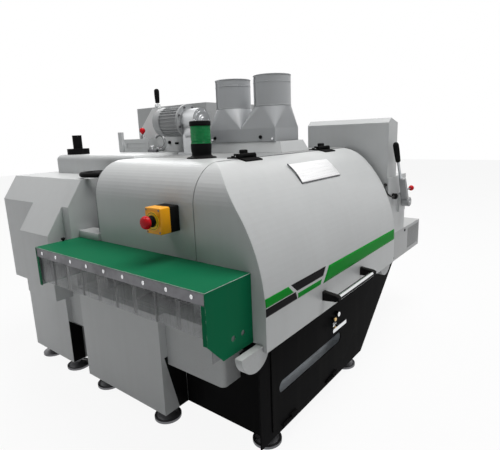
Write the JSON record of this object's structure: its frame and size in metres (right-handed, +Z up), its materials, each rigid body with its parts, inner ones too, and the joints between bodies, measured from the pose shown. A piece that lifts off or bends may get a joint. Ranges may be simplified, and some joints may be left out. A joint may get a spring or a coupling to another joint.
{
  "type": "multi-rip saw",
  "caption": "Machine that feeds boards on a chain past several circular blades under a curved hinged hood, with guards, drive cover, cabinet and dust ducts.",
  "frame": {"origin": "on the floor, under the middle of the machine's bounding box", "axes": "+X is the feed direction, -Y the operator's side with the hood, +Z up"},
  "size_m": [1.944, 1.702, 1.39],
  "materials": {
    "black_paint": "satin black enamel",
    "dark_steel": "dark oiled steel",
    "cast_paint": "grey enamel on cast iron",
    "grey_paint": "light grey satin enamel on sheet steel",
    "dark_grey_paint": "grey enamel",
    "green_paint": "green satin enamel",
    "zinc_steel": "zinc-plated sheet",
    "bright_steel": "bright plated screws",
    "clear_plastic": "clear flexible strip",
    "black_plastic": "moulded black",
    "motor_aluminium": "painted finned casting",
    "cast_aluminium": "cast aluminium",
    "red_plastic": "glossy red",
    "duct_paint": "grey enamel on rolled sheet",
    "yellow_plastic": "yellow moulded housing",
    "green_lens": "dark green lens",
    "plate_aluminium": "blank satin plate",
    "chrome": "chromed",
    "black_rubber": "black rubber",
    "ground_steel": "ground steel",
    "cast_iron": "grey iron",
    "motor_paint": "blue-grey enamel",
    "chain_steel": "dark steel slats"
  },
  "bodies": {
    "root": {"base_frame": "black_paint", "levelling_feet": "dark_steel", "front_lugs": "cast_paint", "infeed_leg": "grey_paint", "feed_bed": "cast_paint", "machine_frame": "dark_grey_paint", "infeed_cover": "grey_paint", "infeed_guard": "green_paint", "curtain_bar": "dark_steel", "cover_screws": "bright_steel", "drive_cover": "grey_paint", "top_housing": "grey_paint", "post_cap": "black_plastic", "electrical_cabinet": "grey_paint", "tower": "grey_paint", "lift_motor": "motor_aluminium", "lift_gearbox": "cast_aluminium", "indicator_box": "grey_paint", "dust_plinth": "grey_paint", "dust_outlet": "duct_paint", "stop_base": "black_plastic", "stop_body": "yellow_plastic", "lamp_base": "black_plastic", "lamp_lens": "green_lens", "hinge_brackets": "black_paint", "outfeed_box": "grey_paint", "outfeed_column": "grey_paint", "outfeed_head": "grey_paint", "hood_switch": "black_plastic", "switch_cable": "black_rubber", "arbor_housing": "cast_iron", "main_motor": "motor_paint", "drive_belts": "black_rubber", "feed_chain": "chain_steel"},
    "hood": {"hood": "grey_paint", "hood_leaves": "black_paint", "hood_handle": "black_plastic", "name_plate": "plate_aluminium"},
    "front_door": {"front_door": "black_paint", "door_tray": "zinc_steel"},
    "door_lock": {"door_lock": "chrome"},
    "strip_curtain": {"strip_curtain": "clear_plastic"},
    "kickback_fingers": {"kickback_fingers": "dark_steel"},
    "stop_button": {"stop_button": "red_plastic"},
    "handwheel": {"handwheel": "black_plastic"},
    "cabinet_door": {"cabinet_door": "grey_paint"},
    "lock_lever": {"lock_lever": "black_plastic"},
    "latch_lever": {"latch_lever": "red_plastic"},
    "gear_lever": {"gear_lever": "black_plastic"},
    "shift_lever": {"shift_lever": "red_plastic"},
    "arbor": {"arbor": "ground_steel", "saw_blades": "ground_steel", "arbor_pulley": "cast_iron"},
    "motor_pulley": {"motor_pulley": "cast_iron"},
    "infeed_sprocket": {"infeed_sprocket": "ground_steel"},
    "outfeed_sprocket": {"outfeed_sprocket": "ground_steel"},
    "pressure_frame": {"pressure_frame": "dark_grey_paint"},
    "roller_1": {"roller_1": "ground_steel"},
    "roller_2": {"roller_2": "ground_steel"},
    "roller_3": {"roller_3": "ground_steel"}
  },
  "joints": [
    {"name": "hood_hinge", "type": "hinge", "parent": "root", "child": "hood", "pos_m": [-0.195, -0.494, 1.041], "axis": [-1, 0, 0], "range_deg": [0, 80]},
    {"name": "front_door_hinge", "type": "hinge", "parent": "root", "child": "front_door", "pos_m": [-0.24, -0.751, 0.084], "axis": [1, 0, 0], "range_deg": [0, 80]},
    {"name": "door_lock_turn", "type": "hinge", "parent": "front_door", "child": "door_lock", "pos_m": [-0.238, -0.76, 0.322], "axis": [0, -1, 0], "range_deg": [0, 90]},
    {"name": "curtain_swing", "type": "hinge", "parent": "root", "child": "strip_curtain", "pos_m": [-0.9635, -0.25, 0.692], "axis": [0, -1, 0], "range_deg": [0, 65]},
    {"name": "finger_swing", "type": "hinge", "parent": "root", "child": "kickback_fingers", "pos_m": [-0.73, -0.2, 0.63], "axis": [0, -1, 0], "range_deg": [0, 75]},
    {"name": "stop_press", "type": "slide", "parent": "root", "child": "stop_button", "axis": [1, 0, 0], "range_m": [0, 0.006], "stiffness_N_per_m": 400},
    {"name": "handwheel_turn", "type": "hinge", "parent": "root", "child": "handwheel", "pos_m": [-0.638, 0.243, 0.967], "axis": [0, 0, 1], "continuous": true},
    {"name": "cabinet_door_hinge", "type": "hinge", "parent": "root", "child": "cabinet_door", "pos_m": [0.762, 0.842, 0.68], "axis": [0, 0, 1], "range_deg": [0, 110]},
    {"name": "lock_lever_swing", "type": "hinge", "parent": "root", "child": "lock_lever", "pos_m": [-0.131, 0.385, 1.291], "axis": [0, 1, 0], "range_deg": [-35, 35]},
    {"name": "latch_lever_swing", "type": "hinge", "parent": "root", "child": "latch_lever", "pos_m": [-0.21, 0.437, 1.128], "axis": [0, 1, 0], "range_deg": [-30, 30]},
    {"name": "gear_lever_swing", "type": "hinge", "parent": "root", "child": "gear_lever", "pos_m": [0.599, -0.75, 0.725], "axis": [0, 1, 0], "range_deg": [-10, 60]},
    {"name": "shift_lever_swing", "type": "hinge", "parent": "root", "child": "shift_lever", "pos_m": [0.69, -0.716, 0.769], "axis": [0, 1, 0], "range_deg": [-25, 25]},
    {"name": "arbor_spin", "type": "hinge", "parent": "root", "child": "arbor", "pos_m": [0.01, -0.23, 0.627], "axis": [0, 1, 0], "continuous": true},
    {"name": "motor_spin", "type": "hinge", "parent": "root", "child": "motor_pulley", "pos_m": [-0.42, 0.76, 0.55], "axis": [0, 1, 0], "continuous": true},
    {"name": "infeed_sprocket_spin", "type": "hinge", "parent": "root", "child": "infeed_sprocket", "pos_m": [-0.7, -0.23, 0.431], "axis": [0, 1, 0], "continuous": true},
    {"name": "outfeed_sprocket_spin", "type": "hinge", "parent": "root", "child": "outfeed_sprocket", "pos_m": [0.34, -0.23, 0.431], "axis": [0, 1, 0], "continuous": true},
    {"name": "pressure_frame_lift", "type": "slide", "parent": "root", "child": "pressure_frame", "axis": [0, 0, 1], "range_m": [0, 0.07]},
    {"name": "roller_1_spin", "type": "hinge", "parent": "pressure_frame", "child": "roller_1", "pos_m": [-0.43, -0.23, 0.535], "axis": [0, 1, 0], "continuous": true},
    {"name": "roller_2_spin", "type": "hinge", "parent": "pressure_frame", "child": "roller_2", "pos_m": [-0.24, -0.23, 0.535], "axis": [0, 1, 0], "continuous": true},
    {"name": "roller_3_spin", "type": "hinge", "parent": "pressure_frame", "child": "roller_3", "pos_m": [0.245, -0.23, 0.535], "axis": [0, 1, 0], "continuous": true}
  ],
  "couplings": [
    {"joint": "motor_spin", "follows": "arbor_spin", "ratio": 0.7368},
    {"joint": "outfeed_sprocket_spin", "follows": "infeed_sprocket_spin", "ratio": 1}
  ]
}
